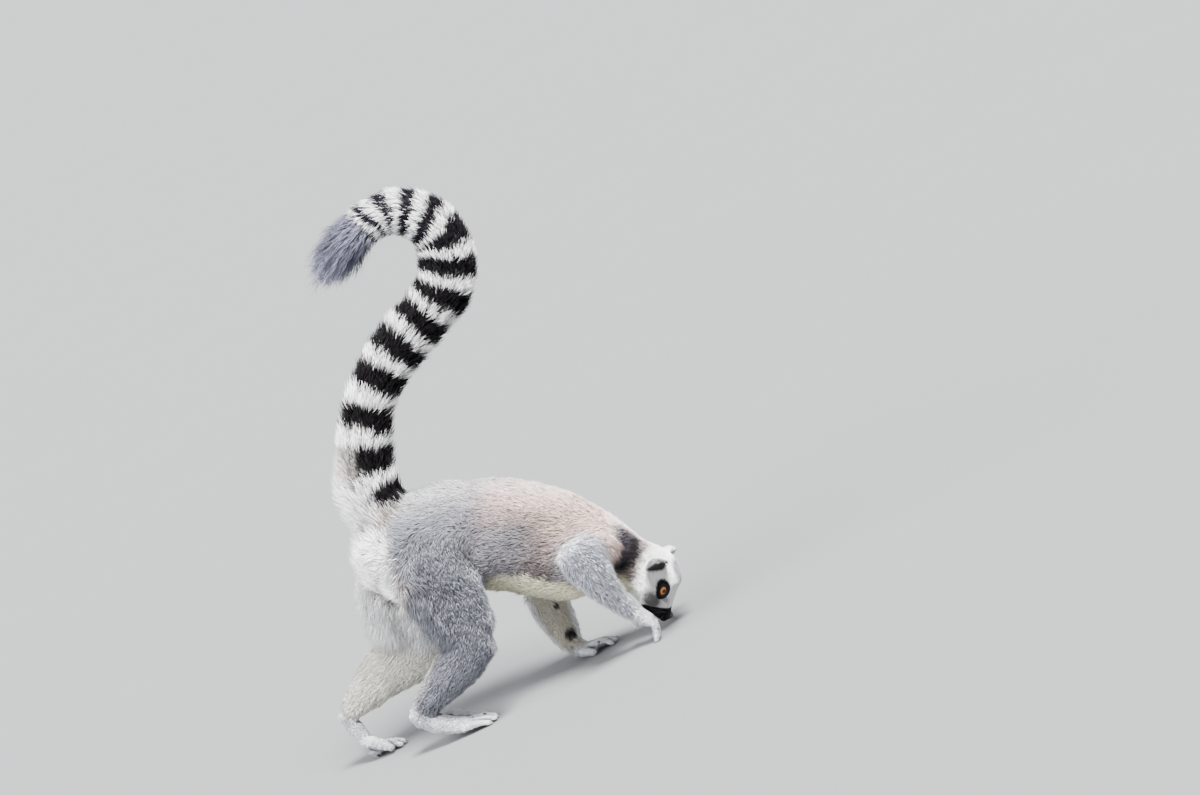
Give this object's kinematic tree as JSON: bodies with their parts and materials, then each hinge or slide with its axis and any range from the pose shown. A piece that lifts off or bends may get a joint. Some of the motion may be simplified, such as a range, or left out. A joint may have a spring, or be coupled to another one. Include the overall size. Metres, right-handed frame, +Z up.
{
  "type": "ring-tailed lemur model",
  "caption": "Still life-size ring-tailed lemur on all fours, back sloping down to a lowered head, ringed tail held high in a hook.",
  "frame": {"origin": "centre of the model's box, on the floor that the feet and hands stand on", "axes": "+X towards the head, +Y towards the animal's left side, +Z up"},
  "size_m": [0.471, 0.1838, 0.6478],
  "materials": {
    "coat_grey": "dense soft grey-brown fur with pale grizzle",
    "coat_white": "soft white to cream fur",
    "coat_ringed": "long fur in black and white rings",
    "bare_skin": "black leathery skin, slightly moist",
    "eye_glass": "clear glossy orange eye with a black pupil"
  },
  "bodies": {
    "root": {"neck": "coat_grey", "trunk": "coat_grey", "thigh_r": "coat_grey", "thigh_l": "coat_grey", "shank_r": "coat_grey", "shank_l": "coat_grey", "upper_arm_r": "coat_grey", "upper_arm_l": "coat_grey", "forearm_r": "coat_grey", "forearm_l": "coat_grey", "head": "coat_white", "ear_r": "coat_white", "ear_l": "coat_white", "hand_r": "coat_white", "hand_l": "coat_white", "foot_r": "coat_white", "foot_l": "coat_white", "tail_1": "coat_ringed", "tail_2": "coat_ringed", "tail_3": "coat_ringed", "tail_4": "coat_ringed", "tail_5": "coat_ringed", "tail_6": "coat_ringed", "tail_7": "coat_ringed", "nose": "bare_skin", "eye_r": "eye_glass", "eye_l": "eye_glass"}
  },
  "joints": []
}
